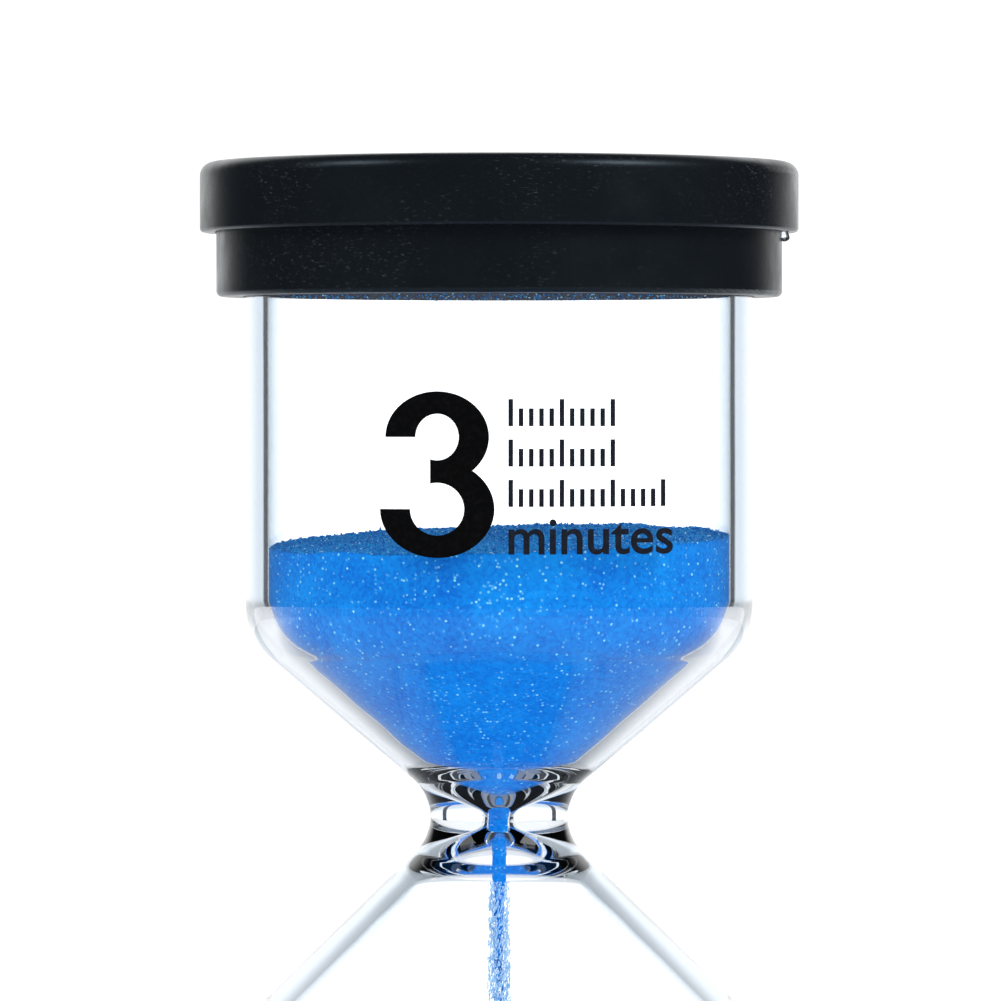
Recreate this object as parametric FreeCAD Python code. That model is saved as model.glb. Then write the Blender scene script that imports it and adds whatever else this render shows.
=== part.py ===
import FreeCAD, Part
import math
import os

from FreeCAD import Vector

# A three-minute sand timer: one double glass bulb held between two stepped black caps.
# Millimetres, +Z up. The origin is at the centre of the face the timer stands on.

# Overall and caps
overall_height = 87.5
lid_height = 4.65
lid_overhang = 1.1            # how far a lid stands out past its collar
lid_face_round = 0.9          # rounding between a lid's flat face and its side
lid_skirt_round = 0.25
collar_exposed = 4.3          # collar height that shows below a lid
collar_wall = 1.8
collar_round = 0.35
collar_clearance = 0.1        # collar bore to glass, and collar to lid recess

# Glass
tube_radius = 17.0
tube_wall = 1.5
rim_in_lid = 1.1              # how far the glass rim passes the lid's lower edge
rim_round = 0.4
upper_cone_angle = 40.5       # degrees from level
lower_cone_angle = 44.5
shoulder_round = 4.75
inner_shoulder = 4.0          # the same round on the inside of the glass
waist_radius = 4.7
waist_blend = 3.4
throat_radius = 0.8
throat_round = 1.25           # how the glass rounds into the throat
funnel_slope = 40.0           # degrees from level, from the throat up to the crest
crest_radius = 4.0            # where the thick neck swells into the cone
crest_round = 2.0
seat_radius = 5.4             # where the swelling meets the even wall of the cone
seat_slope = 26.0             # degrees from level, from the crest to the seat
seat_round = 6.0

# Stoppers
plug_clearance = 0.05
flange_thickness = 0.9
plug_round = 0.2

# Sand
grain_gap = 0.1               # sand to glass
stream_radius = 0.45
upper_column = 2.9            # sand in the straight bore, below the moving top layer
surface_layer = 1.0           # thickness of the moving top layer at its middle
tilt_left = 1.5               # degrees the upper surface falls towards -X
tilt_front = 2.3              # degrees it falls towards -Y
lower_rim = 3.0               # depth of the lower sand where it meets the wall
repose_angle = 30.0
heap_edge = 0.3
heap_round = 1.5

# Printing on the front of the tube
ink_thickness = 0.05
print_drop = 1.45             # how far the printing sits below the middle of the straight tube
numeral_centre_x = -4.0
upper_bowl_half_width = 3.35
upper_bowl_half_height = 2.95
lower_bowl_half_width = 3.7
lower_bowl_half_height = 3.15
numeral_side_stroke = 1.95
numeral_level_stroke = 1.45
numeral_bar_start = 0.45      # the middle bar starts this far left of the numeral's centre
text_left = 0.6
unit_rise = 0.2               # unit line above the numeral's base
unit_height = 2.3
unit_length = 10.7
scale_rise = 3.3              # lowest row of ticks above the numeral's base
row_pitch = 2.6
row_ticks = (16, 11, 11)      # ticks in each row, from the lowest up
tick_pitch = 0.66
tick_width = 0.3
tick_height = 1.15
long_tick_height = 1.75
long_tick_every = 5

# Fits worked out from the sizes above
waist_z = overall_height / 2
bore_radius = tube_radius - tube_wall
cap_depth = lid_height + collar_exposed
bulb_height = waist_z - cap_depth
rim_height = bulb_height + collar_exposed + rim_in_lid
recess_height = rim_height + flange_thickness
collar_bore = tube_radius + collar_clearance
collar_radius = collar_bore + collar_wall
recess_radius = collar_radius + collar_clearance
lid_radius = collar_radius + lid_overhang
sand_radius = bore_radius - grain_gap
heap_rise = sand_radius * math.tan(math.radians(repose_angle))
numeral_height = 2 * (upper_bowl_half_height + lower_bowl_half_height) - numeral_level_stroke


def point(radius, height):
    """A point of a turned outline: radius from the axis, height above the waist plane."""
    return Vector(radius, 0, height)


def arc(start, centre, radius, end):
    """A round stretch from start to end, bulging away from its centre."""
    middle = (start + end) * 0.5 - centre
    middle.normalize()
    return Part.Arc(start, centre + middle * radius, end).toShape()


def line(start, end):
    return Part.LineSegment(start, end).toShape()


def turned(edges):
    """Revolve a closed outline about the axis and lift it to the waist's height."""
    face = Part.Face(Part.Wire(edges))
    solid = face.revolve(Vector(0, 0, 0), Vector(0, 0, 1), 360)
    solid = Part.makeSolid(solid.Shells[0]) if solid.ShapeType != "Solid" else solid
    if solid.Volume < 0:
        solid.reverse()
    solid.translate(Vector(0, 0, waist_z))
    return solid


def mirrored(shape):
    """The same piece at the other end of the timer."""
    return shape.mirror(Vector(0, 0, waist_z), Vector(0, 0, 1))


def closed(points):
    """Straight edges joining the points and closing the outline."""
    return [line(a, b) for a, b in zip(points, points[1:] + points[:1])]


# Bulb geometry. A cone leans on two circles: the shoulder's, inside the glass, and the waist's, outside.

def cone_direction(angle):
    """Outward normal of the underside of a bulb's cone."""
    lean = math.radians(angle)
    return Vector(math.sin(lean), 0, -math.cos(lean))


def shoulder_centre(angle):
    """Centre of the shoulder's round, placed so that one cone touches shoulder and waist."""
    lean = math.radians(angle)
    radius = tube_radius - shoulder_round
    reach = radius - (waist_radius + waist_blend)
    height = (shoulder_round + waist_blend + reach * math.sin(lean)) / math.cos(lean)
    return point(radius, height)


def funnel_top():
    """Height at which the upper cone's sand reaches the straight bore."""
    corner = inner_corners(upper_cone_angle)[4]
    half = math.radians(90 + upper_cone_angle) / 2
    return corner.z + inner_shoulder / math.tan(half)


def numeral_base():
    """Height of the numeral's foot: the printing hangs about the middle of the straight tube."""
    tube_start = shoulder_centre(upper_cone_angle).z
    return (tube_start + bulb_height) / 2 - print_drop - numeral_height / 2


def outer_half(angle):
    """Outer outline of one bulb, from the waist to the rim, as edges."""
    normal = cone_direction(angle)
    shoulder = shoulder_centre(angle)
    blend = point(waist_radius + waist_blend, 0)
    waist = point(waist_radius, 0)
    cone_low = blend - normal * waist_blend
    cone_high = shoulder + normal * shoulder_round
    wall_low = point(tube_radius, shoulder.z)
    wall_high = point(tube_radius, rim_height - rim_round)
    return [
        arc(waist, blend, waist_blend, cone_low),
        line(cone_low, cone_high),
        arc(cone_high, shoulder, shoulder_round, wall_low),
        line(wall_low, wall_high),
    ]


def inner_corners(angle):
    """Corners of one bulb's inside before they are eased: throat, mouth, crest, seat, shoulder, rim."""
    normal = cone_direction(angle)
    depth = normal.x * (waist_radius + waist_blend) - waist_blend - tube_wall

    def on_cone(radius):
        return point(radius, (depth - radius * normal.x) / normal.z)

    seat = on_cone(seat_radius)
    swelling = (seat_radius - crest_radius) * math.tan(math.radians(seat_slope))
    crest = point(crest_radius, seat.z - swelling)
    funnel = (crest_radius - throat_radius) * math.tan(math.radians(funnel_slope))
    mouth = point(throat_radius, crest.z - funnel)
    top = point(bore_radius, rim_height - rim_round)
    return [point(throat_radius, 0), mouth, crest, seat, on_cone(bore_radius), top]


def inner_half(angle, gap, top):
    """Inner outline of one bulb, set in by a gap, from the throat's middle up to a height."""
    corners = inner_corners(angle)
    rounds = [throat_round, crest_round, seat_round, inner_shoulder]
    widened = [throat_round + gap, crest_round + gap, seat_round - gap, inner_shoulder - gap]
    edges = []
    reached = point(throat_radius - gap, 0)
    for index, radius in enumerate(rounds):
        corner = corners[index + 1]
        back = (corners[index] - corner).normalize()
        onward = (corners[index + 2] - corner).normalize()
        half = back.getAngle(onward) / 2
        centre = corner + (back + onward).normalize() * (radius / math.sin(half))
        reach = radius / math.tan(half)
        growth = widened[index] / radius
        start = centre + (corner + back * reach - centre) * growth
        end = centre + (corner + onward * reach - centre) * growth
        edges.append(line(reached, start))
        edges.append(arc(start, centre, widened[index], end))
        reached = end
    if top > reached.z + 0.001:
        edges.append(line(reached, point(bore_radius - gap, top)))
    return edges


def flipped(edges):
    """The same edges below the waist plane."""
    return [edge.mirror(Vector(0, 0, 0), Vector(0, 0, 1)) for edge in edges]


def rim(sign):
    """The fire-polished rim that joins the outer and inner walls at one end."""
    outer = point(tube_radius, sign * (rim_height - rim_round))
    outer_top = point(tube_radius - rim_round, sign * rim_height)
    inner_top = point(bore_radius + rim_round, sign * rim_height)
    inner = point(bore_radius, sign * (rim_height - rim_round))
    return [
        arc(outer, point(outer_top.x, outer.z), rim_round, outer_top),
        line(outer_top, inner_top),
        arc(inner_top, point(inner_top.x, inner.z), rim_round, inner),
    ]


def make_glass_body():
    edges = outer_half(upper_cone_angle) + rim(1)
    edges += inner_half(upper_cone_angle, 0, rim_height - rim_round)
    edges += flipped(outer_half(lower_cone_angle)) + rim(-1)
    edges += flipped(inner_half(lower_cone_angle, 0, rim_height - rim_round))
    return turned(Part.__sortEdges__(edges))


# Caps and stoppers, drawn for the upper end

def make_lid():
    face = waist_z
    skirt = face - lid_height
    side_high = point(lid_radius, face - lid_face_round)
    top_edge = point(lid_radius - lid_face_round, face)
    side_low = point(lid_radius, skirt + lid_skirt_round)
    skirt_edge = point(lid_radius - lid_skirt_round, skirt)
    axis_low = point(0, recess_height)
    recess = point(recess_radius, recess_height)
    mouth = point(recess_radius, skirt)
    axis_high = point(0, face)
    return turned([
        line(axis_low, recess),
        line(recess, mouth),
        line(mouth, skirt_edge),
        arc(skirt_edge, point(skirt_edge.x, side_low.z), lid_skirt_round, side_low),
        line(side_low, side_high),
        arc(side_high, point(top_edge.x, side_high.z), lid_face_round, top_edge),
        line(top_edge, axis_high),
        line(axis_high, axis_low),
    ])


def make_collar():
    inner_low = point(collar_bore, bulb_height)
    edge_low = point(collar_radius - collar_round, bulb_height)
    edge_high = point(collar_radius, bulb_height + collar_round)
    outer_high = point(collar_radius, recess_height)
    inner_high = point(collar_bore, recess_height)
    return turned([
        line(inner_low, edge_low),
        arc(edge_low, point(edge_low.x, edge_high.z), collar_round, edge_high),
        line(edge_high, outer_high),
        line(outer_high, inner_high),
        line(inner_high, inner_low),
    ])


def make_stopper():
    plug_radius = bore_radius - plug_clearance
    axis_low = point(0, bulb_height)
    plug_low = point(plug_radius - plug_round, bulb_height)
    plug_side = point(plug_radius, bulb_height + plug_round)
    plug_high = point(plug_radius, rim_height)
    flange_low = point(tube_radius, rim_height)
    flange_high = point(tube_radius, recess_height)
    axis_high = point(0, recess_height)
    return turned([
        line(axis_low, plug_low),
        arc(plug_low, point(plug_low.x, plug_side.z), plug_round, plug_side),
        line(plug_side, plug_high),
        line(plug_high, flange_low),
        line(flange_low, flange_high),
        line(flange_high, axis_high),
        line(axis_high, axis_low),
    ])


# Sand

def make_upper_funnel():
    """Sand in the cone of the upper bulb, down to the middle of the throat."""
    top = funnel_top()
    edges = inner_half(upper_cone_angle, grain_gap, top)
    throat = point(throat_radius - grain_gap, 0)
    edges.append(line(point(sand_radius, top), point(0, top)))
    edges.append(line(point(0, top), point(0, 0)))
    edges.append(line(point(0, 0), throat))
    return turned(Part.__sortEdges__(edges))


def make_upper_column():
    """Sand in the straight part of the upper bulb, below the moving top layer."""
    return Part.makeCylinder(sand_radius, upper_column, Vector(0, 0, waist_z + funnel_top()))


def make_upper_surface():
    """Top layer of the upper sand, sloping as it does when the timer was set down unevenly."""
    low = waist_z + funnel_top() + upper_column
    layer = Part.makeCylinder(sand_radius, 2 * surface_layer, Vector(0, 0, low))
    slope_x = math.tan(math.radians(tilt_left))
    slope_y = math.tan(math.radians(tilt_front))
    upward = Vector(-slope_x, -slope_y, 1)
    upward.normalize()
    reach = 3 * tube_radius
    cutter = Part.makeBox(2 * reach, 2 * reach, reach, Vector(-reach, -reach, 0))
    turn = FreeCAD.Rotation(Vector(0, 0, 1), upward)
    middle = Vector(0, 0, low + surface_layer)
    cutter.Placement = FreeCAD.Placement(middle, turn).multiply(cutter.Placement)
    return layer.cut(cutter).Solids[0]


def make_lower_column():
    """Level bed of the lower sand, below its heap."""
    low = waist_z - bulb_height
    return Part.makeCylinder(sand_radius, lower_rim - heap_edge, Vector(0, 0, low))


def make_lower_heap():
    """Cone of fallen sand, with a rounded peak."""
    base = lower_rim - heap_edge - bulb_height
    lean = math.radians(repose_angle)
    peak = base + heap_edge + heap_rise
    centre = point(0, peak - heap_round / math.cos(lean))
    side_high = centre + Vector(math.sin(lean), 0, math.cos(lean)) * heap_round
    crest = centre + Vector(0, 0, heap_round)
    foot = point(sand_radius, base + heap_edge)
    return turned([
        line(point(0, base), point(sand_radius, base)),
        line(point(sand_radius, base), foot),
        line(foot, side_high),
        arc(side_high, centre, heap_round, crest),
        line(crest, point(0, base)),
    ])


def make_stream(heap):
    """Falling sand, from the throat's middle to the peak of the heap."""
    low = heap.BoundBox.ZMax
    return Part.makeCylinder(stream_radius, waist_z - low, Vector(0, 0, low))


# Printing: flat shapes pressed onto the front of the tube as a thin layer of ink

def wrapped(faces):
    """Wrap flat shapes, drawn on the XZ plane, round the front of the tube."""
    reach = 2 * tube_radius
    height = overall_height
    shell = Part.makeCylinder(tube_radius + ink_thickness, height)
    shell = shell.cut(Part.makeCylinder(tube_radius, height))
    blocks = [face.extrude(Vector(0, reach, 0)) for face in faces]
    joined = blocks[0].multiFuse(blocks[1:]).removeSplitter() if len(blocks) > 1 else blocks[0]
    joined.translate(Vector(0, -reach, waist_z))
    pieces = joined.common(shell).Solids
    return Part.Compound(pieces) if len(pieces) > 1 else pieces[0]


def ellipse_face(x, height, half_width, half_height):
    """A flat oval on the XZ plane."""
    centre = point(x, height)
    side = point(x + half_width, height)
    crown = point(x, height + half_height)
    ends = (side, crown) if half_width > half_height else (crown, side)
    return Part.Face(Part.Wire(Part.Ellipse(*ends, centre).toShape()))


def bar_face(left, base, length, height):
    """A flat bar on the XZ plane."""
    return Part.Face(Part.Wire(closed([
        point(left, base),
        point(left + length, base),
        point(left + length, base + height),
        point(left, base + height),
    ])))


def bowl_face(height, half_width, half_height):
    """One closed ring of the numeral."""
    outer = ellipse_face(numeral_centre_x, height, half_width, half_height)
    inner = ellipse_face(numeral_centre_x, height,
                         half_width - numeral_side_stroke, half_height - numeral_level_stroke)
    return outer.cut(inner)


def make_numeral():
    """The figure 3: two rings that share a bar, open on the left."""
    lower_centre = numeral_base() + lower_bowl_half_height
    bar_base = lower_centre + lower_bowl_half_height - numeral_level_stroke
    upper_centre = bar_base + upper_bowl_half_height
    rings = bowl_face(upper_centre, upper_bowl_half_width, upper_bowl_half_height)
    rings = rings.fuse(bowl_face(lower_centre, lower_bowl_half_width, lower_bowl_half_height))
    left = numeral_centre_x - 2 * lower_bowl_half_width
    right = numeral_centre_x - numeral_bar_start
    opening = bar_face(left, lower_centre, right - left, upper_centre - lower_centre)
    return wrapped(rings.cut(opening).Faces)


def make_unit():
    return wrapped([bar_face(text_left, numeral_base() + unit_rise, unit_length, unit_height)])


def make_scale():
    """Rows of plain ticks beside the numeral, with a long tick at every fifth."""
    ticks = []
    for row, count in enumerate(row_ticks):
        base = numeral_base() + scale_rise + row_pitch * row
        for step in range(count):
            height = tick_height if step % long_tick_every else long_tick_height
            ticks.append(bar_face(text_left + tick_pitch * step, base, tick_width, height))
    return wrapped(ticks)


def build():
    lid = make_lid()
    collar = make_collar()
    stopper = make_stopper()
    heap = make_lower_heap()
    return {
        "glass_body": make_glass_body(),
        "upper_lid": lid,
        "lower_lid": mirrored(lid),
        "upper_collar": collar,
        "lower_collar": mirrored(collar),
        "upper_stopper": stopper,
        "lower_stopper": mirrored(stopper),
        "upper_sand_funnel": make_upper_funnel(),
        "upper_sand_column": make_upper_column(),
        "upper_sand_surface": make_upper_surface(),
        "sand_stream": make_stream(heap),
        "lower_sand_column": make_lower_column(),
        "lower_sand_heap": heap,
        "printed_numeral": make_numeral(),
        "printed_unit": make_unit(),
        "printed_scale": make_scale(),
    }


os.makedirs("parts", exist_ok=True)
for name, shape in build().items():
    shape.exportStep(f"parts/{name}.step")
    box = shape.BoundBox
    print(f"{name}: volume {shape.Volume:.1f}, z {box.ZMin:.2f} to {box.ZMax:.2f}, valid {shape.isValid()}")
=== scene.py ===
import math
import random

import bmesh
import bpy
from mathutils import Euler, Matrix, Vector, noise


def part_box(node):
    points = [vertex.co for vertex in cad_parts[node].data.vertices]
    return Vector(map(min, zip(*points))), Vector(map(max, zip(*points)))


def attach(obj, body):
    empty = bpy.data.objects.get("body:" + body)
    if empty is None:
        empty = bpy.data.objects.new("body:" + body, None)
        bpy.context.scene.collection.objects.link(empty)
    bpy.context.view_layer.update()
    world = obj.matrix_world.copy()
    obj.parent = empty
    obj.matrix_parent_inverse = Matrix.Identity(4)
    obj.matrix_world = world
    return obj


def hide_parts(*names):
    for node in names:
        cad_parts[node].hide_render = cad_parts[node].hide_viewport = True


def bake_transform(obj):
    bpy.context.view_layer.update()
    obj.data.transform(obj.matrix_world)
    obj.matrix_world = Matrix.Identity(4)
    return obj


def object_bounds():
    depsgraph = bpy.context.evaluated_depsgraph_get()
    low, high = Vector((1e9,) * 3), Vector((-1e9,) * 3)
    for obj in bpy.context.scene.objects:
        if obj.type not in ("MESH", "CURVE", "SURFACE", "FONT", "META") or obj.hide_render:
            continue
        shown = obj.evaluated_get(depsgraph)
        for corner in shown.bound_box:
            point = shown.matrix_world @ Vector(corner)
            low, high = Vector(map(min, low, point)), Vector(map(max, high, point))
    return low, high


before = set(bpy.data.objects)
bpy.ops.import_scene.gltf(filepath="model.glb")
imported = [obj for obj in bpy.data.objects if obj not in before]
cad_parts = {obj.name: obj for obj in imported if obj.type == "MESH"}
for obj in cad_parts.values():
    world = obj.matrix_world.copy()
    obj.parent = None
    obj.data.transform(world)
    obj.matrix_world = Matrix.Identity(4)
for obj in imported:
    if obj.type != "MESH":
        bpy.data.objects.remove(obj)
cad_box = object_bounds()

# ---------------------------------------------------------------- sizes, in metres

MM = 0.001

# read from the frame
base_z = cad_box[0].z
waist_z = (base_z + cad_box[1].z) / 2
collar_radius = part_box("upper_collar")[1].x
collar_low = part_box("upper_collar")[0].z
tube_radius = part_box("glass_body")[1].x
rim_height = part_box("glass_body")[1].z - waist_z
sand_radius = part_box("upper_sand_column")[1].x
layer_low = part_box("upper_sand_surface")[0].z
floor_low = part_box("lower_sand_column")[0].z
heap_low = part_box("lower_sand_heap")[0].z
heap_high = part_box("lower_sand_heap")[1].z
unit_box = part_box("printed_unit")

# the bulb's inner shape, as the design has it
tube_wall = 1.5 * MM
grain_gap = 0.1 * MM
upper_cone = math.radians(40.5)
lower_cone = math.radians(44.5)
shoulder_round = 4.75 * MM
inner_shoulder = 4.0 * MM
waist_radius = 4.7 * MM
waist_blend = 3.4 * MM
throat_radius = 0.8 * MM
throat_round = 1.25 * MM
funnel_slope = math.radians(40)
crest_radius = 4.0 * MM
crest_round = 2.0 * MM
seat_radius = 5.4 * MM
seat_slope = math.radians(26)
seat_round = 6.0 * MM
rim_round = 0.4 * MM
ink_thickness = 0.05 * MM

# the sand's surfaces
surface_layer = 1.0 * MM
tilt_left = math.radians(1.5)
tilt_front = math.radians(2.3)
grain_size = 0.2 * MM
grain_lift = 0.02 * MM          # how far loose grains sit above the surface they lie on
broad_lump = 5 * MM             # width of the surface's broad unevenness
fine_lump = 0.8 * MM            # width of its fine unevenness
repose = math.radians(30)       # slope of the lower heap
heap_foot = 0.3 * MM            # straight side below the heap's edge
heap_tip = 1.2 * MM             # rounding of the heap's tip

# fineness of the turned meshes
ROUND_STEPS = 256
OUTLINE_STEP = 0.45 * MM
SAND_STEP = 0.3 * MM
STREAM_STEP = 0.25 * MM
ON_AXIS = 1e-7                  # a radius below this counts as being on the axis


# ---------------------------------------------------------------- outlines

def arc_points(centre, radius, start, end, count=14):
    """Points on an arc in the (radius, height) plane, angles in radians from the outward direction."""
    points = []
    for step in range(count + 1):
        angle = start + (end - start) * step / count
        points.append(Vector((centre[0] + radius * math.cos(angle), centre[1] + radius * math.sin(angle))))
    return points


def spaced(points, step):
    """The same outline with no stretch longer than step."""
    out = [points[0]]
    for a, b in zip(points, points[1:]):
        pieces = max(1, math.ceil((b - a).length / step))
        out += [a.lerp(b, k / pieces) for k in range(1, pieces + 1)]
    return [p for p, q in zip(out, out[1:]) if (p - q).length > 1e-7] + [out[-1]]


def shoulder_centre(cone):
    """Centre of the shoulder's round, where one cone touches both the shoulder and the waist."""
    radius = tube_radius - shoulder_round
    reach = radius - (waist_radius + waist_blend)
    height = (shoulder_round + waist_blend + reach * math.sin(cone)) / math.cos(cone)
    return Vector((radius, height))


def outer_outline(cone):
    """Outside of one bulb, from the waist up to the rim."""
    lean = math.pi / 2 - cone
    points = arc_points((waist_radius + waist_blend, 0), waist_blend, math.pi, math.pi - lean, 20)
    points += arc_points(shoulder_centre(cone), shoulder_round, -lean, 0, 20)
    points.append(Vector((tube_radius, rim_height - rim_round)))
    return points


def eased(corners, rounds, gap):
    """A path through corners, each eased with its own round and set in by a gap.
    A round is (radius, side): side 1 where the glass swells into the bulb, -1 where the bulb is hollow."""
    points = []
    for before, corner, after, (radius, side) in zip(corners, corners[1:], corners[2:], rounds):
        back, onward = (before - corner).normalized(), (after - corner).normalized()
        half = back.angle(onward) / 2
        centre = corner + (back + onward).normalized() * radius / math.sin(half)
        start = corner + back * radius / math.tan(half) - centre
        end = corner + onward * radius / math.tan(half) - centre
        first = math.atan2(start.y, start.x)
        turn = (math.atan2(end.y, end.x) - first + math.pi) % (2 * math.pi) - math.pi
        points += arc_points(centre, radius + side * gap, first, first + turn, 16)
    return points


def inner_outline(cone, gap, top):
    """Inside of one bulb, set in by a gap, from the middle of the throat up to a height."""
    normal = Vector((math.sin(cone), -math.cos(cone)))
    depth = normal.x * (waist_radius + waist_blend) - waist_blend - tube_wall
    bore = tube_radius - tube_wall

    def on_cone(radius):
        return Vector((radius, (depth - radius * normal.x) / normal.y))

    seat = on_cone(seat_radius)
    crest = Vector((crest_radius, seat.y - (seat_radius - crest_radius) * math.tan(seat_slope)))
    mouth = Vector((throat_radius, crest.y - (crest_radius - throat_radius) * math.tan(funnel_slope)))
    corners = [Vector((throat_radius, 0)), mouth, crest, seat, on_cone(bore), Vector((bore, rim_height))]
    rounds = ((throat_round, 1), (crest_round, 1), (seat_round, -1), (inner_shoulder, -1))
    points = [Vector((throat_radius - gap, 0))] + eased(corners, rounds, gap)
    if top > points[-1].y:
        points.append(Vector((points[-1].x, top)))
    return points


# ---------------------------------------------------------------- turned meshes

def new_object(name, mesh):
    piece = bpy.data.objects.new(name, mesh)
    bpy.context.scene.collection.objects.link(piece)
    return piece


def mesh_piece(name, vertices, faces, material, smooth=True):
    """An object from plain lists, with merged doubles and outward faces."""
    mesh = bpy.data.meshes.new(name)
    mesh.from_pydata(vertices, [], faces)
    work = bmesh.new()
    work.from_mesh(mesh)
    bmesh.ops.remove_doubles(work, verts=work.verts, dist=1e-8)
    bmesh.ops.recalc_face_normals(work, faces=work.faces)
    work.to_mesh(mesh)
    work.free()
    mesh.polygons.foreach_set("use_smooth", [smooth] * len(mesh.polygons))
    mesh.materials.append(material)
    return new_object(name, mesh)


def turned(name, outline, material, shift=None, closed=False, steps=ROUND_STEPS):
    """Turn an outline about the axis. Ends on the axis become poles; a closed outline makes a ring.
    shift(radius, height, angle) returns the small change of radius and height there."""
    vertices = []
    rings = []
    for radius, height in outline:
        if radius < ON_AXIS:
            rings.append([len(vertices)] * steps)
            vertices.append((0, 0, waist_z + height))
            continue
        rings.append(list(range(len(vertices), len(vertices) + steps)))
        for k in range(steps):
            angle = 2 * math.pi * k / steps
            dr, dz = shift(radius, height, angle) if shift else (0, 0)
            wide = radius + dr
            vertices.append((wide * math.cos(angle), wide * math.sin(angle), waist_z + height + dz))
    faces = []
    following = rings[1:] + rings[:1] if closed else rings[1:]
    for low, high in zip(rings, following):
        for k in range(steps):
            n = (k + 1) % steps
            corners = list(dict.fromkeys((low[k], low[n], high[n], high[k])))
            if len(corners) > 2:
                faces.append(corners)
    return mesh_piece(name, vertices, faces, material)


# ---------------------------------------------------------------- node helpers

class Nodes:
    """A small builder for one node tree."""

    def __init__(self, tree):
        self.tree = tree

    def add(self, kind, values=None, **settings):
        node = self.tree.nodes.new(kind)
        for key, value in settings.items():
            setattr(node, key, value)
        for key, value in (values or {}).items():
            if isinstance(value, bpy.types.NodeSocket):
                self.tree.links.new(value, node.inputs[key])
            else:
                node.inputs[key].default_value = value
        return node

    def math(self, operation, first, second=0.0):
        return self.add("ShaderNodeMath", {0: first, 1: second}, operation=operation).outputs[0]

    def mix(self, factor, first, second):
        """Mix two plain values."""
        return self.add("ShaderNodeMix", {0: factor, 2: first, 3: second}).outputs[0]

    def blend(self, factor, first, second):
        """Mix two colours."""
        node = self.tree.nodes.new("ShaderNodeMix")
        node.data_type = "RGBA"
        for index, value in ((0, factor), (6, first), (7, second)):
            if isinstance(value, bpy.types.NodeSocket):
                self.tree.links.new(value, node.inputs[index])
            else:
                node.inputs[index].default_value = value if index == 0 else (*value, 1.0)
        return node.outputs[2]

    def range(self, value, low, high, to_low=0.0, to_high=1.0, smooth=False):
        kind = "SMOOTHSTEP" if smooth else "LINEAR"
        node = self.add("ShaderNodeMapRange", {0: value, 1: low, 2: high, 3: to_low, 4: to_high},
                        interpolation_type=kind)
        return node.outputs[0]


def shader_group(name, inputs, outputs, build):
    """A shader node group with named sockets; build(nodes, ins) returns a dict of outputs."""
    tree = bpy.data.node_groups.new(name, "ShaderNodeTree")
    for label, kind, value in inputs:
        socket = tree.interface.new_socket(label, in_out="INPUT", socket_type=kind)
        if value is not None:
            socket.default_value = value
    for label, kind in outputs:
        tree.interface.new_socket(label, in_out="OUTPUT", socket_type=kind)
    nodes = Nodes(tree)
    start = tree.nodes.new("NodeGroupInput")
    end = tree.nodes.new("NodeGroupOutput")
    results = build(nodes, {socket.name: socket for socket in start.outputs if socket.name})
    for label, socket in results.items():
        tree.links.new(socket, end.inputs[label])
    return tree


def use_group(nodes, tree, values):
    node = nodes.tree.nodes.new("ShaderNodeGroup")
    node.node_tree = tree
    for key, value in values.items():
        if isinstance(value, bpy.types.NodeSocket):
            nodes.tree.links.new(value, node.inputs[key])
        else:
            node.inputs[key].default_value = value
    return node.outputs


def new_material(name):
    """A material with its Principled shader and output.
    Returns the material, its node builder, the shader and the object coordinates."""
    material = bpy.data.materials.new(name)
    material.use_nodes = True
    tree = material.node_tree
    tree.nodes.clear()
    nodes = Nodes(tree)
    shader = nodes.add("ShaderNodeBsdfPrincipled")
    output = nodes.add("ShaderNodeOutputMaterial")
    tree.links.new(shader.outputs[0], output.inputs["Surface"])
    place = nodes.add("ShaderNodeTexCoord").outputs["Object"]
    return material, nodes, shader, place


def bump(nodes, shader, height, distance, strength=1.0):
    node = nodes.add("ShaderNodeBump", {"Height": height, "Distance": distance, "Strength": strength})
    nodes.tree.links.new(node.outputs[0], shader.inputs["Normal"])


# ---------------------------------------------------------------- effects used by several materials

def build_grain_cells(nodes, ins):
    """Packed grains: one cell per grain, with a random value, a rounded height and a flake mask: pale glitter
    flakes whose random brightness is a painted glint.
    """
    cells = nodes.add("ShaderNodeTexVoronoi", {"Vector": ins["Place"], "Scale": ins["Grains per metre"]})
    random_value = nodes.add("ShaderNodeSeparateColor", {0: cells.outputs["Color"]}).outputs[0]
    height = nodes.math("SUBTRACT", 1.0, cells.outputs["Distance"])
    flakes = nodes.add("ShaderNodeTexVoronoi", {"Vector": ins["Place"], "Scale": ins["Flakes per metre"]})
    draws = nodes.add("ShaderNodeSeparateColor", {0: flakes.outputs["Color"]}).outputs
    chosen = nodes.math("GREATER_THAN", draws[1], nodes.math("SUBTRACT", 1.0, ins["Flake share"]))
    # painted glint: each flake's random brightness stands in for the sparkle of light on glitter
    painted_glint = nodes.range(nodes.math("MULTIPLY", draws[2], draws[2]), 0.0, 1.0, 0.15, 1.0)
    small = nodes.range(flakes.outputs["Distance"], 0.44, 0.26)
    flake_with_glint = nodes.math("MULTIPLY", nodes.math("MULTIPLY", chosen, small), painted_glint)
    return {"Grain": random_value, "Height": height, "Flake": flake_with_glint}


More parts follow.
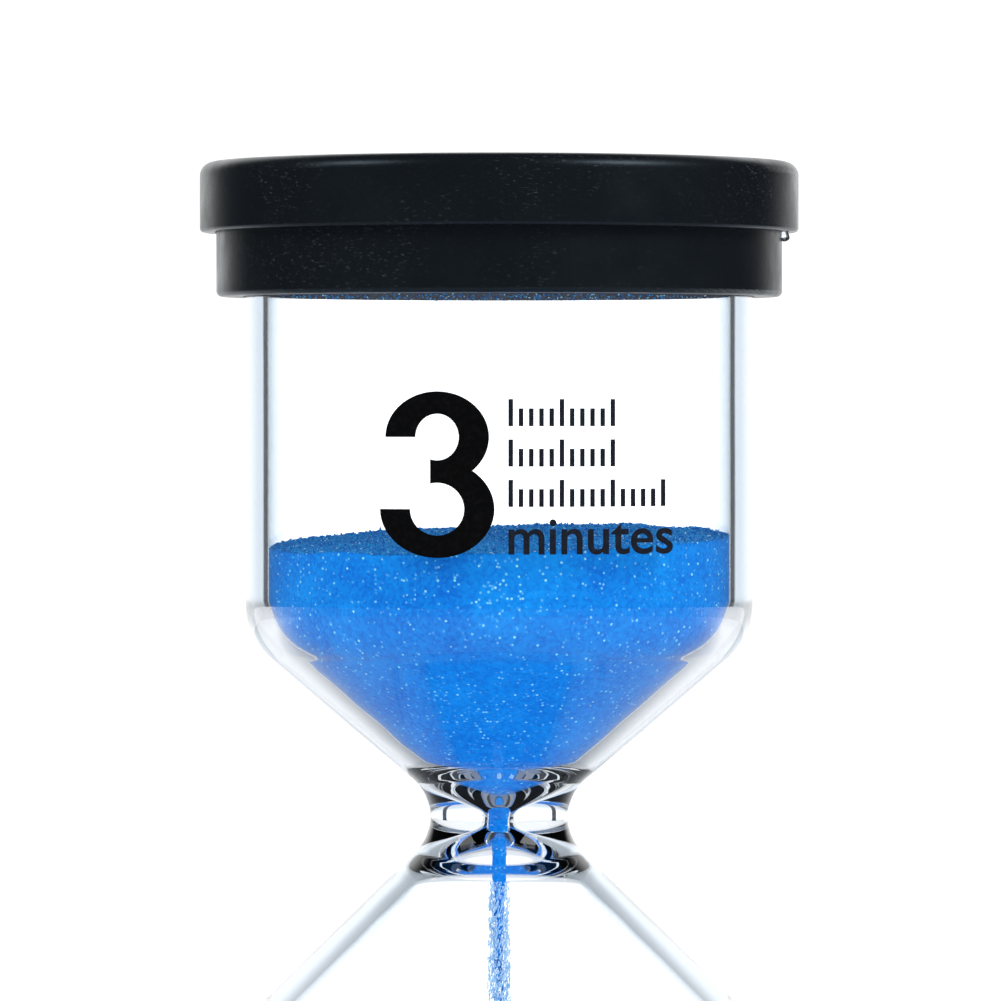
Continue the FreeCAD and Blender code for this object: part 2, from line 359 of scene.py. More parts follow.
def build_handling(nodes, ins):
    """Handled plastic: soft mottling, fine scuffs and dust, as masks and a height."""
    soft = nodes.add("ShaderNodeTexNoise", {"Vector": ins["Place"], "Scale": ins["Mottle per metre"],
                                            "Detail": 4.0, "Roughness": 0.6})
    fine = nodes.add("ShaderNodeTexNoise", {"Vector": ins["Place"], "Scale": ins["Pits per metre"],
                                            "Detail": 3.0, "Roughness": 0.7})
    stretch = nodes.add("ShaderNodeMapping", {"Vector": ins["Place"], "Scale": (1.0, 1.0, 3.2)})
    streak = nodes.add("ShaderNodeTexNoise", {"Vector": stretch.outputs[0], "Scale": ins["Pits per metre"],
                                              "Detail": 3.0, "Roughness": 0.6})
    patches = nodes.add("ShaderNodeTexNoise", {"Vector": ins["Place"], "Scale": 110.0, "Detail": 2.0})
    worn = nodes.range(patches.outputs[0], 0.48, 0.62)
    scratches = nodes.range(streak.outputs[0], 0.60, 0.72)
    scuff = nodes.math("MULTIPLY", scratches, nodes.range(worn, 0.0, 1.0, 0.12, 0.8))
    mottle = nodes.range(soft.outputs[0], 0.35, 0.65)
    height = nodes.math("ADD", fine.outputs[0], nodes.math("MULTIPLY", soft.outputs[0], 1.5))
    return {"Mottle": mottle, "Scuff": scuff, "Height": height}


def make_groups():
    grain = shader_group(
        "grain_cells",
        [("Place", "NodeSocketVector", None), ("Grains per metre", "NodeSocketFloat", 5000.0),
         ("Flakes per metre", "NodeSocketFloat", 4300.0), ("Flake share", "NodeSocketFloat", 0.03)],
        [("Grain", "NodeSocketFloat"), ("Height", "NodeSocketFloat"), ("Flake", "NodeSocketFloat")],
        build_grain_cells)
    handling = shader_group(
        "handling_marks",
        [("Place", "NodeSocketVector", None), ("Mottle per metre", "NodeSocketFloat", 300.0),
         ("Pits per metre", "NodeSocketFloat", 2500.0)],
        [("Mottle", "NodeSocketFloat"), ("Scuff", "NodeSocketFloat"), ("Height", "NodeSocketFloat")],
        build_handling)
    return grain, handling


grain_cells, handling_marks = make_groups()


# ---------------------------------------------------------------- materials

def blown_glass():
    """Clear glass with a faint blue body and blown ripples. Shadow rays and the scattered light
    of matt pieces pass straight through it, so that the sand inside is lit."""
    material, nodes, shader, place = new_material("blown_glass")
    ripple = nodes.add("ShaderNodeTexNoise", {"Vector": place, "Scale": 260.0, "Detail": 1.0}).outputs[0]
    tint = nodes.blend(ripple, (0.965, 0.985, 1.0), (0.985, 0.995, 1.0))
    nodes.tree.links.new(tint, shader.inputs["Base Color"])
    shader.inputs["Roughness"].default_value = 0.0
    shader.inputs["Transmission Weight"].default_value = 1.0
    shader.inputs["IOR"].default_value = 1.49
    bump(nodes, shader, ripple, 0.004 * MM, 0.35)
    clear = nodes.add("ShaderNodeBsdfTransparent", {"Color": (0.97, 0.985, 1.0, 1.0)})
    path = nodes.add("ShaderNodeLightPath").outputs
    lighting = nodes.math("MAXIMUM", path["Is Shadow Ray"], path["Is Diffuse Ray"])
    mix = nodes.add("ShaderNodeMixShader", {0: lighting, 1: shader.outputs[0], 2: clear.outputs[0]})
    output = next(n for n in nodes.tree.nodes if n.type == "OUTPUT_MATERIAL")
    nodes.tree.links.new(mix.outputs[0], output.inputs["Surface"])
    return material


def black_plastic(name, base, roughness, mottle_scale):
    """Black moulded plastic with a satin skin, dull mottling and fine scuffs."""
    material, nodes, shader, place = new_material(name)
    marks = use_group(nodes, handling_marks, {"Place": place, "Mottle per metre": mottle_scale})
    colour = nodes.blend(marks["Scuff"], base, (0.060, 0.070, 0.080))
    nodes.tree.links.new(colour, shader.inputs["Base Color"])
    dull = nodes.range(marks["Mottle"], 0.0, 1.0, roughness - 0.03, roughness + 0.07)
    nodes.tree.links.new(dull, shader.inputs["Roughness"])
    shader.inputs["Specular Tint"].default_value = (0.66, 0.86, 1.0, 1.0)
    bump(nodes, shader, marks["Height"], 0.012 * MM, 0.6)
    return material


def dusted_rubber():
    """Black stopper with blue dust clinging to it, and pale flakes with painted glints."""
    material, nodes, shader, place = new_material("dusted_rubber")
    grains = use_group(nodes, grain_cells, {"Place": place, "Flake share": 0.10})
    cloud = nodes.add("ShaderNodeTexNoise", {"Vector": place, "Scale": 900.0, "Detail": 4.0}).outputs[0]
    dust = nodes.math("MULTIPLY", nodes.range(cloud, 0.46, 0.66), nodes.range(grains["Grain"], 0.45, 0.6))
    colour = nodes.blend(dust, (0.003, 0.006, 0.012), (0.006, 0.03, 0.09))
    # glitter flakes in the dust, with painted glints in their pale colour
    colour = nodes.blend(grains["Flake"], colour, (0.12, 0.35, 0.6))
    nodes.tree.links.new(colour, shader.inputs["Base Color"])
    shader.inputs["Roughness"].default_value = 0.7
    shader.inputs["Specular IOR Level"].default_value = 0.15
    bump(nodes, shader, grains["Height"], 0.03 * MM, 0.5)
    return material


def blue_sand(name, deep, bright, flake_share):
    """Dyed sand: deep and bright grains, soft patches and pale glitter flakes, painted brighter at random as
    glints.
    """
    material, nodes, shader, place = new_material(name)
    grains = use_group(nodes, grain_cells, {"Place": place, "Flake share": flake_share})
    patch = nodes.add("ShaderNodeTexNoise", {"Vector": place, "Scale": 230.0, "Detail": 3.0}).outputs[0]
    share = nodes.math("ADD", nodes.math("MULTIPLY", grains["Grain"], 0.55),
                       nodes.range(patch, 0.3, 0.7, -0.05, 0.5))
    colour = nodes.blend(nodes.math("MINIMUM", share, 1.0), deep, bright)
    # pale glitter flakes with painted glints: the colour is palest where the painted glint is strongest
    colour = nodes.blend(grains["Flake"], colour, (0.34, 0.88, 1.0))
    nodes.tree.links.new(colour, shader.inputs["Base Color"])
    nodes.tree.links.new(nodes.range(grains["Flake"], 0.0, 1.0, 0.62, 0.25), shader.inputs["Roughness"])
    shader.inputs["Specular IOR Level"].default_value = 0.06
    bump(nodes, shader, grains["Height"], 0.05 * MM, 0.6)
    return material


def loose_grain(name, colour, pale, roughness):
    """Single grains: each a little different in colour."""
    material, nodes, shader, place = new_material(name)
    spread = nodes.add("ShaderNodeTexNoise", {"Vector": place, "Scale": 4200.0, "Detail": 1.0}).outputs[0]
    mixed = nodes.blend(nodes.range(spread, 0.35, 0.68), colour, pale)
    nodes.tree.links.new(mixed, shader.inputs["Base Color"])
    shader.inputs["Roughness"].default_value = roughness
    shader.inputs["Specular IOR Level"].default_value = 0.15
    return material


def print_ink(name, colour, edge):
    """Screen-printed ink: even, with a faint grain and slightly thin patches."""
    material, nodes, shader, place = new_material(name)
    grain = nodes.add("ShaderNodeTexNoise", {"Vector": place, "Scale": 3500.0, "Detail": 2.0}).outputs[0]
    mixed = nodes.blend(nodes.range(grain, 0.45, 0.75), colour, edge)
    nodes.tree.links.new(mixed, shader.inputs["Base Color"])
    shader.inputs["Roughness"].default_value = 0.6
    shader.inputs["Specular IOR Level"].default_value = 0.1
    bump(nodes, shader, grain, 0.004 * MM, 0.4)
    return material


def clear_glue():
    """A bead of clear set glue."""
    material, nodes, shader, place = new_material("clear_glue")
    haze = nodes.add("ShaderNodeTexNoise", {"Vector": place, "Scale": 3000.0}).outputs[0]
    mixed = nodes.blend(haze, (0.9, 0.94, 1.0), (1.0, 1.0, 1.0))
    nodes.tree.links.new(mixed, shader.inputs["Base Color"])
    shader.inputs["Roughness"].default_value = 0.08
    shader.inputs["Transmission Weight"].default_value = 1.0
    return material


def studio_paper():
    """Matt white paper under the timer. Rays that were reflected on the way see its near part darker,
    as if it were flagged off, so that no white veil lies on the glass."""
    material, nodes, shader, place = new_material("studio_paper")
    fibre = nodes.add("ShaderNodeTexNoise", {"Vector": place, "Scale": 900.0, "Detail": 3.0}).outputs[0]
    path = nodes.add("ShaderNodeLightPath").outputs
    across, deep, _ = nodes.add("ShaderNodeSeparateXYZ", {0: place}).outputs
    front = nodes.range(deep, 160 * MM, 20 * MM, smooth=True)
    beside = nodes.range(nodes.math("ABSOLUTE", across), 80 * MM, 260 * MM, smooth=True)
    flagged = nodes.math("MAXIMUM", front, nodes.math("MULTIPLY", beside, 0.5))
    reflected = nodes.range(path["Glossy Depth"], 0.0, 1.0, 0.0, 0.85)
    not_lighting = nodes.math("SUBTRACT", 1.0, path["Is Diffuse Ray"])
    shade = nodes.math("MULTIPLY", nodes.math("MULTIPLY", flagged, reflected), not_lighting)
    paper = nodes.blend(fibre, (0.88, 0.91, 0.95), (0.90, 0.93, 0.97))
    nodes.tree.links.new(nodes.blend(shade, paper, (0.05, 0.07, 0.10)), shader.inputs["Base Color"])
    shader.inputs["Roughness"].default_value = 0.9
    shader.inputs["Emission Color"].default_value = (0.95, 0.98, 1.0, 1.0)
    shader.inputs["Emission Strength"].default_value = 0.06
    return material


glass = blown_glass()
lid_black = black_plastic("satin_black_lid", (0.0045, 0.0065, 0.0095), 0.30, 260.0)
collar_black = black_plastic("satin_black_collar", (0.0045, 0.0065, 0.0095), 0.32, 330.0)
stopper_black = dusted_rubber()
sand = blue_sand("blue_sand", (0.001, 0.14, 0.64), (0.004, 0.31, 0.90), 0.20)
grain_blue = loose_grain("blue_grain", (0.004, 0.15, 0.55), (0.03, 0.42, 0.85), 0.5)
grain_pale = loose_grain("glitter_grain", (0.15, 0.62, 0.95), (0.75, 0.97, 1.0), 0.25)
grain_dust = loose_grain("dust_grain", (0.34, 0.62, 0.88), (0.66, 0.84, 1.0), 0.6)
ink_black = print_ink("black_ink", (0.0015, 0.0015, 0.002), (0.004, 0.004, 0.005))
ink_grey = print_ink("slate_ink", (0.008, 0.010, 0.018), (0.014, 0.018, 0.03))
glue = clear_glue()


# ---------------------------------------------------------------- glass

def blown_shift(radius, height, angle):
    """The small unevenness of blown glass, strongest about the pinched waist."""
    near_waist = math.exp(-(height / (6 * MM)) ** 2)
    place = Vector((math.cos(angle) * 1.1, math.sin(angle) * 1.1, height / (9 * MM)))
    slow = noise.noise(place + Vector((3.1, 7.7, 1.3)))
    ringing = math.sin(height / (0.42 * MM) + 2.2 * slow) * near_waist
    return (0.015 + 0.12 * near_waist) * MM * slow + 0.012 * MM * ringing, 0.0


def flip(points):
    """The same points mirrored below the waist."""
    return [Vector((p.x, -p.y)) for p in points]


def glass_outline():
    """Closed outline of the wall: up the outside, over the rim, down the inside, then the lower bulb."""
    bore = tube_radius - tube_wall
    high = rim_height - rim_round
    rim = arc_points((tube_radius - rim_round, high), rim_round, 0, math.pi / 2, 5)
    rim += arc_points((bore + rim_round, high), rim_round, math.pi / 2, math.pi, 5)
    upper = outer_outline(upper_cone) + rim + inner_outline(upper_cone, 0, high)[::-1]
    lower = flip(inner_outline(lower_cone, 0, high) + rim[::-1] + outer_outline(lower_cone)[::-1])
    return spaced(upper + lower, OUTLINE_STEP)[:-1]


bulb = turned("glass_bulb", glass_outline(), glass, shift=blown_shift, closed=True)
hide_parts("glass_body")
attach(bulb, "timer")


# ---------------------------------------------------------------- sand

def surface_height(x, y):
    """Height of the upper sand's uneven top."""
    slope = math.tan(tilt_left) * x + math.tan(tilt_front) * y
    broad = noise.noise(Vector((x, y, 0)) / broad_lump) * 0.22 * MM
    fine = noise.noise(Vector((x, y, 4 * MM)) / fine_lump) * 0.07 * MM
    edge = max(0.0, math.hypot(x, y) / sand_radius - 0.93) * 1.6 * MM
    return layer_low + surface_layer + slope + broad + fine + edge


def upper_shift(radius, height, angle):
    """Lift the top of the poured shape to the uneven surface."""
    z = waist_z + height
    share = (z - layer_low) / surface_layer
    if share <= 0:
        return 0.0, 0.0
    x, y = radius * math.cos(angle), radius * math.sin(angle)
    return 0.0, share * (surface_height(x, y) - layer_low) - (z - layer_low)


def make_upper_sand():
    """All the sand of the upper bulb, from the throat to its uneven top."""
    top = layer_low + surface_layer - waist_z
    side = inner_outline(upper_cone, grain_gap, top)
    outline = [Vector((0, 0))] + side + [Vector((0, top))]
    piece = turned("upper_sand_fill", spaced(outline, SAND_STEP), sand, shift=upper_shift)
    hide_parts("upper_sand_funnel", "upper_sand_column", "upper_sand_surface")
    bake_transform(piece)
    return piece


def heap_height(radius, angle):
    """Height of the lower heap above its foot."""
    slope = math.tan(repose)
    peak = sand_radius * slope
    height = peak - math.sqrt((radius * slope) ** 2 + heap_tip ** 2) + heap_tip * 0.4
    x, y = radius * math.cos(angle), radius * math.sin(angle)
    broad = noise.noise(Vector((x, y, 9 * MM)) / (4 * MM)) * 0.2
    fine = noise.noise(Vector((x, y, 0)) / fine_lump) * 0.08
    return height + (broad + fine) * MM * min(1.0, radius / (3 * MM))


def make_lower_sand():
    """The bed and heap of fallen sand."""
    foot = heap_low + heap_foot - waist_z
    outline = [Vector((0, floor_low - waist_z)), Vector((sand_radius, floor_low - waist_z)),
               Vector((sand_radius, foot)), Vector((0, foot))]

    def shift(radius, height, angle):
        return (0.0, max(0.0, heap_height(radius, angle))) if height > foot - 1e-7 else (0.0, 0.0)

    piece = turned("lower_sand_fill", spaced(outline, SAND_STEP), sand, shift=shift)
    on_axis = (v for v in piece.data.vertices if math.hypot(v.co.x, v.co.y) < ON_AXIS)
    pole = max(on_axis, key=lambda v: v.co.z)
    pole.co.z = waist_z + foot + heap_height(0.0, 0.0)
    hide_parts("lower_sand_column", "lower_sand_heap")
    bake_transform(piece)
    return piece


make_upper_sand()
make_lower_sand()


# ---------------------------------------------------------------- loose grains, by geometry nodes

def grain_tree(name, material, build_points):
    """A geometry tree that sets one rough grain on each point, at a random turn and size."""
    tree = bpy.data.node_groups.new(name, "GeometryNodeTree")
    face = tree.interface
    face.new_socket("Geometry", in_out="INPUT", socket_type="NodeSocketGeometry")
    for label, kind, value in (
            ("Amount", "NodeSocketFloat", 1.0), ("Grain Size", "NodeSocketFloat", grain_size),
            ("Longest", "NodeSocketFloat", 1.6), ("Tumble", "NodeSocketFloat", 1.0),
            ("Seed", "NodeSocketInt", 1)):
        face.new_socket(label, in_out="INPUT", socket_type=kind).default_value = value
    face.new_socket("Geometry", in_out="OUTPUT", socket_type="NodeSocketGeometry")
    nodes = Nodes(tree)
    start = tree.nodes.new("NodeGroupInput")
    end = tree.nodes.new("NodeGroupOutput")
    ins = {socket.name: socket for socket in start.outputs if socket.name}
    points = build_points(nodes, ins)
    grain = nodes.add("GeometryNodeMeshIcoSphere", {"Radius": 0.5, "Subdivisions": 1})
    turn = nodes.add("FunctionNodeRandomValue", data_type="FLOAT_VECTOR")
    turn.inputs[1].default_value = (6.28, 6.28, 6.28)
    tree.links.new(ins["Seed"], turn.inputs["Seed"])
    tumbled = nodes.add("ShaderNodeVectorMath", {0: turn.outputs[0]}, operation="SCALE")
    tree.links.new(ins["Tumble"], tumbled.inputs["Scale"])
    size = nodes.add("FunctionNodeRandomValue", data_type="FLOAT_VECTOR")
    size.inputs[0].default_value = (0.55, 0.55, 0.55)
    longest = nodes.add("ShaderNodeCombineXYZ", {0: 1.1, 1: 1.0, 2: ins["Longest"]})
    tree.links.new(longest.outputs[0], size.inputs[1])
    tree.links.new(ins["Seed"], size.inputs["Seed"])
    scaled = nodes.add("ShaderNodeVectorMath", {0: size.outputs[0]}, operation="SCALE")
    tree.links.new(ins["Grain Size"], scaled.inputs["Scale"])
    placed = nodes.add("GeometryNodeInstanceOnPoints", {
        "Points": points, "Instance": grain.outputs[0],
        "Rotation": tumbled.outputs[0], "Scale": scaled.outputs[0]})
    solid = nodes.add("GeometryNodeRealizeInstances", {0: placed.outputs[0]})
    coated = nodes.add("GeometryNodeSetMaterial", {"Geometry": solid.outputs[0]})
    coated.inputs["Material"].default_value = material
    tree.links.new(coated.outputs[0], end.inputs[0])
    return tree


def points_on_faces(nodes, ins):
    """Points strewn over the faces, Amount per square metre."""
    spread = nodes.add("GeometryNodeDistributePointsOnFaces", {"Mesh": ins["Geometry"]})
    nodes.tree.links.new(ins["Amount"], spread.inputs["Density"])
    nodes.tree.links.new(ins["Seed"], spread.inputs["Seed"])
    return spread.outputs["Points"]


def points_at_vertices(nodes, ins):
    """One point on every vertex."""
    return nodes.add("GeometryNodeMeshToPoints", {"Mesh": ins["Geometry"]}).outputs[0]


def grow(name, carrier, tree, **values):
    """Run a grain tree on a carrier mesh and keep the plain result in its place."""
    modifier = carrier.modifiers.new("grains", "NODES")
    modifier.node_group = tree
    for item in tree.interface.items_tree:
        if item.in_out == "INPUT" and item.name in values:
            modifier[item.identifier] = values[item.name]
    depsgraph = bpy.context.evaluated_depsgraph_get()
    mesh = bpy.data.meshes.new_from_object(carrier.evaluated_get(depsgraph))
    carrier.modifiers.remove(modifier)
    bpy.data.objects.remove(carrier)
    mesh.name = name
    return new_object(name, mesh)


def disc_carrier(name, radius, height_at, rings=24, steps=64, inner=0.0):
    """A flat or uneven disc to strew grains on, with its faces up."""
    vertices, faces = [], []
    for ring in range(rings + 1):
        r = inner + (radius - inner) * ring / rings
        for k in range(steps):
            angle = 2 * math.pi * k / steps
            x, y = r * math.cos(angle), r * math.sin(angle)
            vertices.append((x, y, height_at(x, y)))
    for ring in range(rings):
        for k in range(steps):
            n = (k + 1) % steps
            near, far = ring * steps, (ring + 1) * steps
            faces.append((near + k, far + k, far + n, near + n))
    mesh = bpy.data.meshes.new(name)
    mesh.from_pydata(vertices, [], faces)
    return new_object(name, mesh)


def finish_grains(piece, body):
    """Grains ride on the body they lie on."""
    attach(piece, body)


def make_loose_grains():
    """Grains lying on both surfaces and clinging to the stopper's underside."""
    blue = grain_tree("blue_grains", grain_blue, points_on_faces)
    pale = grain_tree("glitter_grains", grain_pale, points_on_faces)
    edge = sand_radius - 0.12 * MM
    for name, tree, amount, size, longest, seed in (
            ("surface_grains", blue, 8.0e6, 0.22 * MM, 2.6, 3),
            ("surface_glitter", pale, 0.8e6, 0.15 * MM, 2.4, 8)):
        carrier = disc_carrier(name + "_carrier", edge, lambda x, y: surface_height(x, y) + grain_lift)
        piece = grow(name, carrier, tree, Amount=amount, Seed=seed, Longest=longest, **{"Grain Size": size})
        finish_grains(piece, "upper_sand")
    foot = heap_low + heap_foot

    def heap_top(x, y):
        return foot + max(0.0, heap_height(math.hypot(x, y), math.atan2(y, x))) + grain_lift

    for name, tree, amount, seed in (("heap_grains", blue, 5.0e6, 5), ("heap_glitter", pale, 0.4e6, 6)):
        carrier = disc_carrier(name + "_carrier", edge, heap_top)
        piece = grow(name, carrier, tree, Amount=amount, Seed=seed, Longest=1.5, **{"Grain Size": grain_size})
        finish_grains(piece, "lower_sand")
    dust_z = collar_low - 0.03 * MM
    for name, tree, amount, seed in (
            ("stopper_dust", blue, 0.5e6, 11), ("stopper_glitter", pale, 0.12e6, 12)):
        carrier = disc_carrier(name + "_carrier", edge, lambda x, y: dust_z)
        piece = grow(name, carrier, tree, Amount=amount, Seed=seed, Longest=1.2, **{"Grain Size": 0.13 * MM})
        finish_grains(piece, "timer")


def falling_grains(name, tree, count, start, spread, size, seed):
    """Grains strewn down the fall, from a drop below the waist to the heap, drawn long by their speed."""
    rng = random.Random(seed)
    fall = waist_z - heap_high
    vertices = []
    for _ in range(count):
        share = rng.random()
        reach = spread * (0.75 + 0.25 * share)
        turn, away = rng.uniform(0, 2 * math.pi), reach * math.sqrt(rng.random())
        height = waist_z - start - share * (fall - start)
        vertices.append((away * math.cos(turn), away * math.sin(turn), height))
    mesh = bpy.data.meshes.new(name + "_carrier")
    mesh.from_pydata(vertices, [], [])
    carrier = new_object(name + "_carrier", mesh)
    return grow(name, carrier, tree, Seed=seed, Tumble=0.03, Longest=4.5, **{"Grain Size": size})


def make_stream():
    """The falling sand: a core that leaves the throat and thins out, in a column of loose grains."""
    taper = ((0, 0), (0.69, 0), (0.66, 0.7), (0.52, 1.6), (0.46, 3.5), (0.34, 5.0), (0.24, 7.5),
             (0.10, 10.5), (0, 12.0))       # radius and drop below the waist, mm
    core = [Vector((radius * MM, -drop * MM)) for radius, drop in taper]

    def ragged(radius, height, angle):
        place = Vector((math.cos(angle), math.sin(angle), height / (1.6 * MM)))
        return min(radius, 0.10 * MM) * noise.noise(place * 1.7), 0.0

    piece = turned("sand_stream_core", spaced(core, STREAM_STEP), sand, shift=ragged, steps=28)
    loose = grain_tree("stream_grains", grain_blue, points_at_vertices)
    pale = grain_tree("stream_dust", grain_dust, points_at_vertices)
    grains = falling_grains("sand_stream_grains", loose, 700, 3.0 * MM, 0.42 * MM, 0.10 * MM, 21)
    dust = falling_grains("sand_stream_dust", pale, 3600, 4.2 * MM, 0.92 * MM, 0.10 * MM, 22)
    for part in (piece, grains, dust):
        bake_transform(part)
    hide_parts("sand_stream")


make_loose_grains()
make_stream()


# ---------------------------------------------------------------- printing

def wrap_on_tube(mesh, centre_x, centre_z, depth):
    """Bend flat lettering, drawn on XY, onto the front of the tube."""
    for vertex in mesh.vertices:
        x = vertex.co.x + centre_x
        radius = tube_radius + depth * (0.5 + vertex.co.z)
        vertex.co = Vector((x, -math.sqrt(radius ** 2 - x ** 2), vertex.co.y + centre_z))


def make_unit_word():
    """The unit under the scale, as plain lettering."""
    curve = bpy.data.curves.new("unit_word", "FONT")
    curve.body = "minutes"
    curve.size = 1.0
    curve.extrude = 0.5
    curve.offset = 0.012
    curve.resolution_u = 8
    text = new_object("unit_word_flat", curve)
    depsgraph = bpy.context.evaluated_depsgraph_get()
    mesh = bpy.data.meshes.new_from_object(text.evaluated_get(depsgraph))
    bpy.data.objects.remove(text)
    xs = [v.co.x for v in mesh.vertices]
    ys = [v.co.y for v in mesh.vertices]
    wide = (unit_box[1].x - unit_box[0].x) / (max(xs) - min(xs))
    tall = (unit_box[1].z - unit_box[0].z) / (max(ys) - min(ys))
    for vertex in mesh.vertices:
        vertex.co.x = (vertex.co.x - (max(xs) + min(xs)) / 2) * wide
        vertex.co.y = (vertex.co.y - (max(ys) + min(ys)) / 2) * tall
    middle = (unit_box[0] + unit_box[1]) / 2
    wrap_on_tube(mesh, middle.x, middle.z, ink_thickness * 0.9)
    mesh.materials.clear()
    mesh.materials.append(ink_grey)
    word = new_object("unit_word", mesh)
    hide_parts("printed_unit")
    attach(word, "timer")


make_unit_word()


# ---------------------------------------------------------------- caps, stoppers, glue

def dress(node, material):
    """Give a carried-over part its finish."""
    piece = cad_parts[node]
    piece.data.materials.clear()
    piece.data.materials.append(material)


for end in ("upper", "lower"):
    dress(f"{end}_lid", lid_black)
    dress(f"{end}_collar", collar_black)
    dress(f"{end}_stopper", stopper_black)
dress("printed_numeral", ink_black)
dress("printed_scale", ink_grey)


def make_glue_bead():
    """A small set drop of glue in the corner under the upper lid."""
    angle = math.radians(-4)
    centre = Vector((math.cos(angle), math.sin(angle), 0)) * (collar_radius + 0.18 * MM)
    centre.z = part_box("upper_lid")[0].z - 0.32 * MM
    work = bmesh.new()
    bmesh.ops.create_icosphere(work, subdivisions=3, radius=0.34 * MM)
    for vertex in work.verts:
        vertex.co.z *= 1.25 if vertex.co.z > 0 else 0.95
        vertex.co += vertex.co.normalized() * noise.noise(vertex.co / (0.3 * MM)) * 0.05 * MM
        vertex.co += centre
    mesh = bpy.data.meshes.new("glue_bead")
    work.to_mesh(mesh)
    work.free()
    mesh.polygons.foreach_set("use_smooth", [True] * len(mesh.polygons))
    mesh.materials.append(glue)
    bead = new_object("glue_bead", mesh)
    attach(bead, "timer")


make_glue_bead()


# ---------------------------------------------------------------- stage, light and camera

def make_floor():
    """A round sheet of paper that the timer stands on."""
    steps = 96
    reach = 350 * MM
    vertices = [(0, 0, base_z)]
    for k in range(steps):
        angle = 2 * math.pi * k / steps
        vertices.append((reach * math.cos(angle), reach * math.sin(angle), base_z))
    faces = [(0, k + 1, (k + 1) % steps + 1) for k in range(steps)]
    mesh = bpy.data.meshes.new("studio_floor")
    mesh.from_pydata(vertices, [], faces)
    mesh.materials.append(studio_paper())
    new_object("studio_floor", mesh)


def softbox(name, bearing, rise, distance, width, height, radiance):
    """A soft lamp at a bearing from the camera's side, in degrees, aimed at the timer's middle."""
    turn, lift = math.radians(bearing), math.radians(rise)
    away = Vector((math.sin(turn) * math.cos(lift), -math.cos(turn) * math.cos(lift), math.sin(lift)))
    lamp = bpy.data.lights.new(name, "AREA")
    lamp.shape = "RECTANGLE"
    lamp.size, lamp.size_y = width, height
    lamp.energy = radiance * math.pi * width * height
    holder = bpy.data.objects.new(name, lamp)
    bpy.context.scene.collection.objects.link(holder)
    holder.location = Vector((0, 0, waist_z)) + away * distance
    holder.rotation_euler = (-away).to_track_quat("-Z", "Y").to_euler()


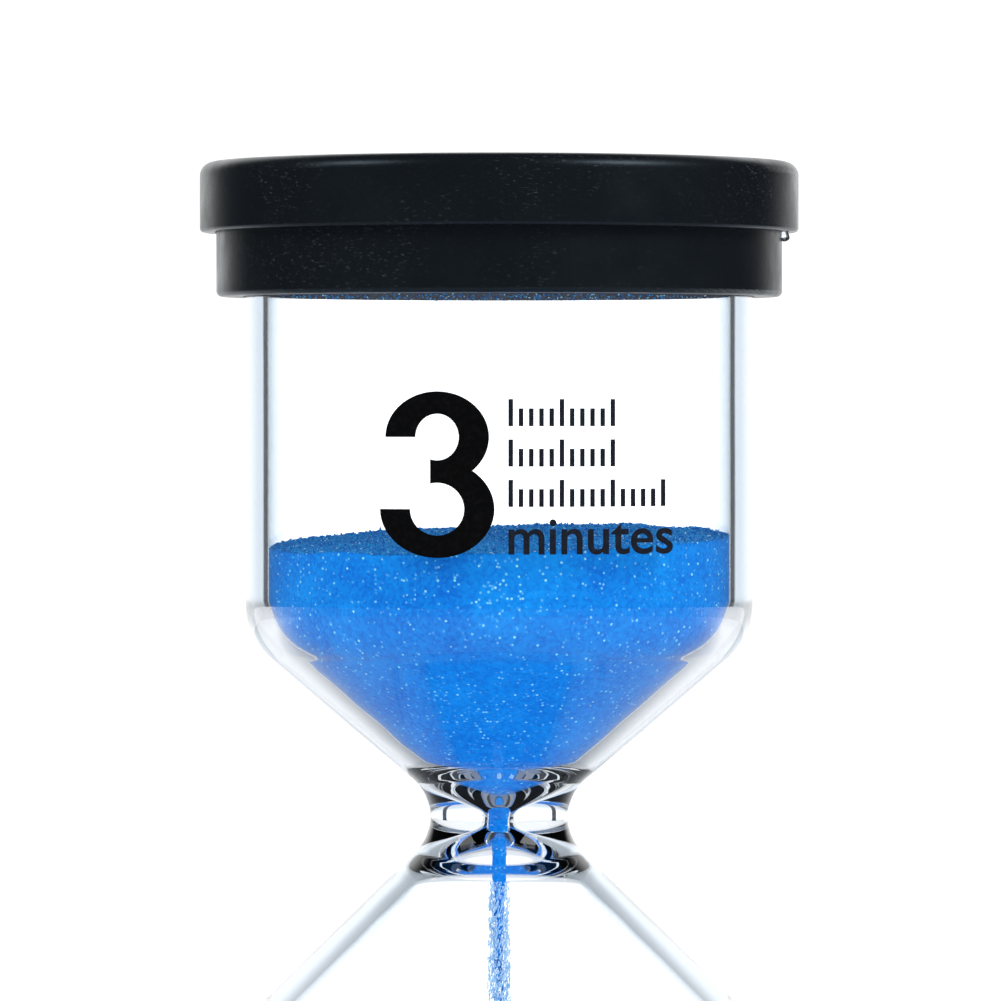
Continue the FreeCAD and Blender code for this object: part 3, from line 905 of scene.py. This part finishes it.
def make_world():
    """A white studio in which the kind of ray decides how much of the room it sees:
    - seen directly, and as light on matt pieces, the room is white all round
    - straight through the glass it is white too, but for a narrow dark flag that draws the bore's edge
    - once reflected, only the paper behind the timer is white, and pale blue at the glass's edges."""
    world = bpy.data.worlds.new("studio")
    bpy.context.scene.world = world
    world.use_nodes = True
    tree = world.node_tree
    tree.nodes.clear()
    nodes = Nodes(tree)
    path = nodes.add("ShaderNodeLightPath").outputs
    bounced = nodes.math("GREATER_THAN", path["Glossy Depth"], 0.5)

    # the ray's direction: facing is 1 towards the paper behind and -1 towards the front, z is its rise
    place = nodes.add("ShaderNodeTexCoord").outputs["Generated"]
    x, y, z = nodes.add("ShaderNodeSeparateXYZ", {0: place}).outputs
    across, along = nodes.math("MULTIPLY", x, x), nodes.math("MULTIPLY", y, y)
    level = nodes.math("SQRT", nodes.math("ADD", across, along))
    facing = nodes.math("DIVIDE", y, nodes.math("MAXIMUM", level, 0.001))
    below_ceiling = nodes.range(z, 0.80, 0.50, smooth=True)
    nearly_level = nodes.math("MULTIPLY", nodes.range(z, -0.14, -0.03, smooth=True),
                              nodes.range(z, 0.35, 0.15, smooth=True))

    # through the glass
    flag_middle, flag_half, flag_clear = 0.768, 0.022, 0.042
    from_flag = nodes.math("ABSOLUTE", nodes.math("SUBTRACT", facing, flag_middle))
    beside_flag = nodes.range(from_flag, flag_half, flag_clear, smooth=True)
    behind = nodes.range(facing, 0.785, 0.815, smooth=True)
    white = nodes.math("MULTIPLY", nodes.mix(bounced, beside_flag, behind), below_ceiling)
    steep = nodes.range(nodes.math("ABSOLUTE", z), 0.10, 0.30, smooth=True)
    turned_back = nodes.math("MULTIPLY", nodes.range(facing, 0.25, -0.25, smooth=True), steep)
    dark = nodes.range(turned_back, 0.0, 1.0, 0.10, 0.50)
    through = nodes.range(white, 0.0, 1.0, dark, nodes.range(nearly_level, 0.0, 1.0, 1.0, 1.85))
    straight = nodes.blend(nodes.range(facing, 0.93, 1.0), (0.82, 0.90, 0.98), (1.0, 1.0, 1.0))
    tint = nodes.blend(bounced, straight, (0.47, 0.525, 0.58))

    # mirrored in the glass and the caps
    wide = nodes.math("MULTIPLY", nodes.range(facing, 0.70, 0.93, smooth=True), below_ceiling)
    gloss = nodes.range(wide, 0.0, 1.0, 0.03, 1.45)

    strength = nodes.mix(path["Is Transmission Ray"], gloss, through)
    strength = nodes.mix(path["Is Diffuse Ray"], strength, 0.95)
    strength = nodes.mix(path["Is Camera Ray"], strength, 1.1)
    colour = nodes.blend(path["Is Transmission Ray"], (1.0, 1.0, 1.0), tint)
    back = nodes.add("ShaderNodeBackground", {"Color": colour, "Strength": strength})
    end = nodes.add("ShaderNodeOutputWorld")
    tree.links.new(back.outputs[0], end.inputs["Surface"])


def make_camera():
    """A long lens in front of the upper bulb, looking down very slightly."""
    distance = 450 * MM
    eye_height = waist_z + 27.83 * MM
    beside_axis = 0.09 * MM
    look_down = math.radians(0.8475)
    lens_camera = bpy.data.cameras.new("camera")
    lens_camera.sensor_width = 36
    lens_camera.lens = 241.9
    lens_camera.clip_start = 0.01
    camera = bpy.data.objects.new("camera", lens_camera)
    bpy.context.scene.collection.objects.link(camera)
    camera.location = (beside_axis, -distance, eye_height)
    camera.rotation_euler = Euler((math.radians(90) - look_down, 0, 0))
    bpy.context.scene.camera = camera


make_floor()
make_world()
softbox("lamp_left", -62, 36, 0.80, 0.30, 0.30, 3.0)
softbox("lamp_right", 54, 36, 0.80, 0.34, 0.30, 4.8)
make_camera()
bpy.context.scene.view_settings.view_transform = "Standard"
bpy.context.scene.view_settings.look = "None"
